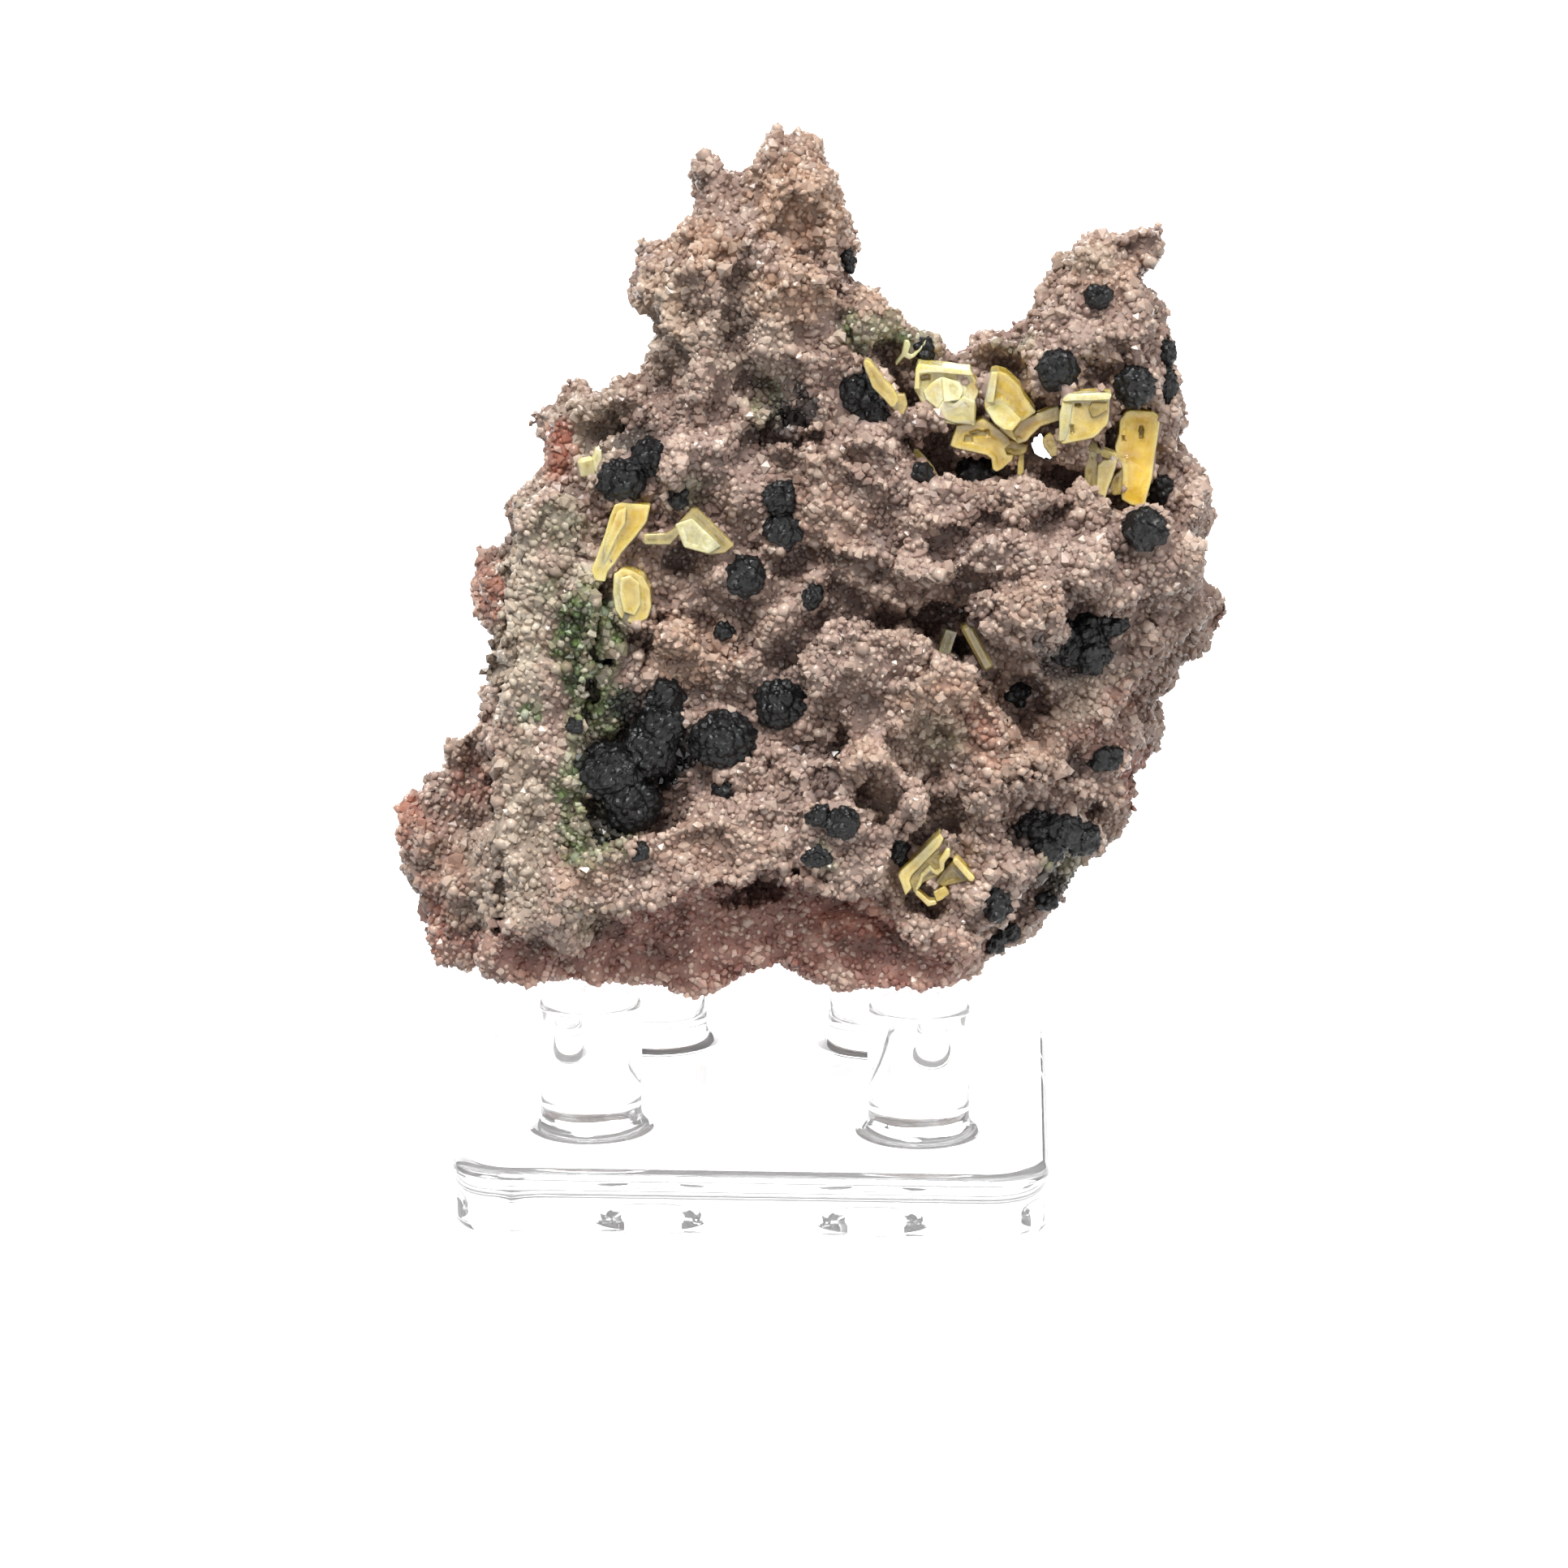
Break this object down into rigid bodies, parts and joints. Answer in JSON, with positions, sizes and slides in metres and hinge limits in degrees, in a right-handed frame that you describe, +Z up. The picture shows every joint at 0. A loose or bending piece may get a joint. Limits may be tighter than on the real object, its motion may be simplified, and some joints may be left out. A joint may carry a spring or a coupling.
{
  "type": "wulfenite specimen",
  "caption": "Mineral specimen on a clear acrylic peg stand: yellow tabular crystals and black mineral balls on a lump of sparkling brown drusy rock.",
  "frame": {"origin": "centre of the underside of the stand's plate", "axes": "+Z up, -Y the side that shows the crystals, +X to the right as that side is looked at"},
  "size_m": [0.0667, 0.042, 0.082],
  "materials": {
    "clear_acrylic": "clear cast acrylic, polished",
    "drusy_matrix": "fine sparkling druse, taupe to reddish brown, with green and grey patches",
    "black_mineral": "satin black, finely crystalline",
    "wulfenite": "glassy, translucent honey yellow"
  },
  "bodies": {
    "root": {"black_ball_by_crystal": "black_mineral", "black_ball_centre": "black_mineral", "black_ball_centre_right": "black_mineral", "black_ball_centre_small": "black_mineral", "black_ball_chain": "black_mineral", "black_ball_chain_foot": "black_mineral", "black_ball_column": "black_mineral", "black_ball_column_low": "black_mineral", "black_ball_corner_cluster": "black_mineral", "black_ball_corner_low": "black_mineral", "black_ball_edge_lower": "black_mineral", "black_ball_edge_upper": "black_mineral", "black_ball_horn_edge": "black_mineral", "black_ball_horn_left": "black_mineral", "black_ball_horn_right": "black_mineral", "black_ball_horn_top": "black_mineral", "black_ball_middle_small": "black_mineral", "black_ball_notch": "black_mineral", "black_ball_notch_top": "black_mineral", "black_ball_recess": "black_mineral", "black_ball_recess_small": "black_mineral", "black_ball_right_cluster": "black_mineral", "black_ball_right_crevice": "black_mineral", "black_ball_right_low": "black_mineral", "black_ball_shelf": "black_mineral", "black_ball_shelf_edge": "black_mineral", "black_ball_shoulder": "black_mineral", "black_ball_shoulder_small": "black_mineral", "black_ball_spire": "black_mineral", "black_ball_terrace": "black_mineral", "black_ball_terrace_grey": "black_mineral", "black_ball_terrace_small": "black_mineral", "black_ball_wall_lower": "black_mineral", "black_ball_wall_upper": "black_mineral", "display_base": "clear_acrylic", "matrix": "drusy_matrix", "peg_back_left": "clear_acrylic", "peg_back_right": "clear_acrylic", "peg_front_left": "clear_acrylic", "peg_front_right": "clear_acrylic", "wulfenite_crevice_blade": "wulfenite", "wulfenite_crevice_chip": "wulfenite", "wulfenite_left_barrel": "wulfenite", "wulfenite_left_blade": "wulfenite", "wulfenite_left_pale_group": "wulfenite", "wulfenite_left_tablet": "wulfenite", "wulfenite_notch_blade": "wulfenite", "wulfenite_notch_sprig": "wulfenite", "wulfenite_recess_needle": "wulfenite", "wulfenite_row_group": "wulfenite", "wulfenite_row_prism": "wulfenite", "wulfenite_row_slender": "wulfenite", "wulfenite_row_square": "wulfenite", "wulfenite_terrace_group": "wulfenite"}
  },
  "joints": []
}
